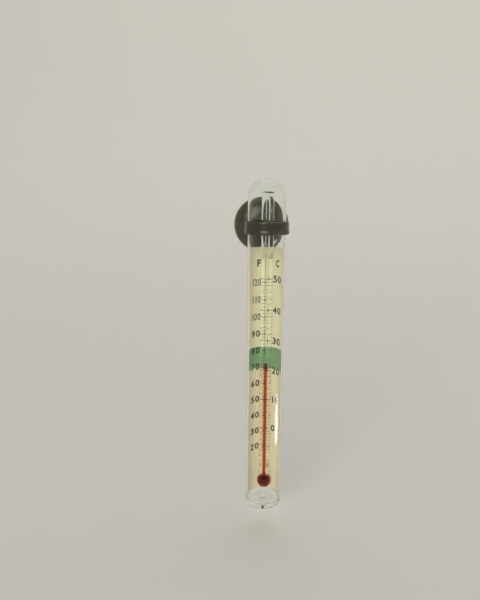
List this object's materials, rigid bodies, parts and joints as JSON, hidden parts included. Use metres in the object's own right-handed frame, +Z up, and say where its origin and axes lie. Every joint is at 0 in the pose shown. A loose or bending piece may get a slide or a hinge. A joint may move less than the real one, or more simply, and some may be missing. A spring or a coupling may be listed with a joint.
{
  "type": "glass aquarium thermometer",
  "caption": "Sealed glass tube thermometer with a curved paper scale and red spirit capillary, held in the ring of a soft smoky suction-cup holder.",
  "frame": {"origin": "centre of the suction cup's flat lip, on the plane that meets the aquarium wall", "axes": "+Z up the tube to its dome, +Y out of the cup at the wall, -Y the side the scale is read from"},
  "size_m": [0.0184, 0.0211, 0.11],
  "materials": {
    "soft_pvc": "smoky translucent soft PVC, glossy as moulded",
    "tube_glass": "clear drawn glass tube, fire polished ends",
    "stem_glass": "clear thick-walled capillary glass",
    "scale_paper": "uncoated cream card, rolled",
    "scale_ink": "black printing ink on paper",
    "band_ink": "green printing ink on paper",
    "spirit_red": "red-dyed spirit, a liquid",
    "clear_adhesive": "adhesive that has cured cloudy over the card"
  },
  "bodies": {
    "suction_cup": {"cup_skirt": "soft_pvc"},
    "holder": {"ring_holder": "soft_pvc"},
    "tube": {"glass_tube": "tube_glass"},
    "scale": {"scale_card": "scale_paper", "capillary_glass": "stem_glass", "bulb_spirit": "spirit_red", "spirit_column": "spirit_red", "adhesive_dabs": "clear_adhesive"},
    "spirit_level": {"spirit_tip": "spirit_red"}
  },
  "joints": [
    {"name": "cup_press", "type": "slide", "parent": "suction_cup", "child": "holder", "axis": [0, 1, 0], "range_m": [0, 0.002], "stiffness_N_per_m": 1200, "deforming": ["cup_skirt"]},
    {"name": "tube_slide", "type": "slide", "parent": "holder", "child": "tube", "axis": [0, 0, 1], "range_m": [-0.007, 0.088]},
    {"name": "scale_turn", "type": "hinge", "parent": "tube", "child": "scale", "pos_m": [0, -0.014, 0], "axis": [0, 0, 1], "continuous": true},
    {"name": "spirit_rise", "type": "slide", "parent": "scale", "child": "spirit_level", "axis": [0, 0, 1], "range_m": [-0.0317, 0.0285], "deforming": ["spirit_column"]}
  ]
}
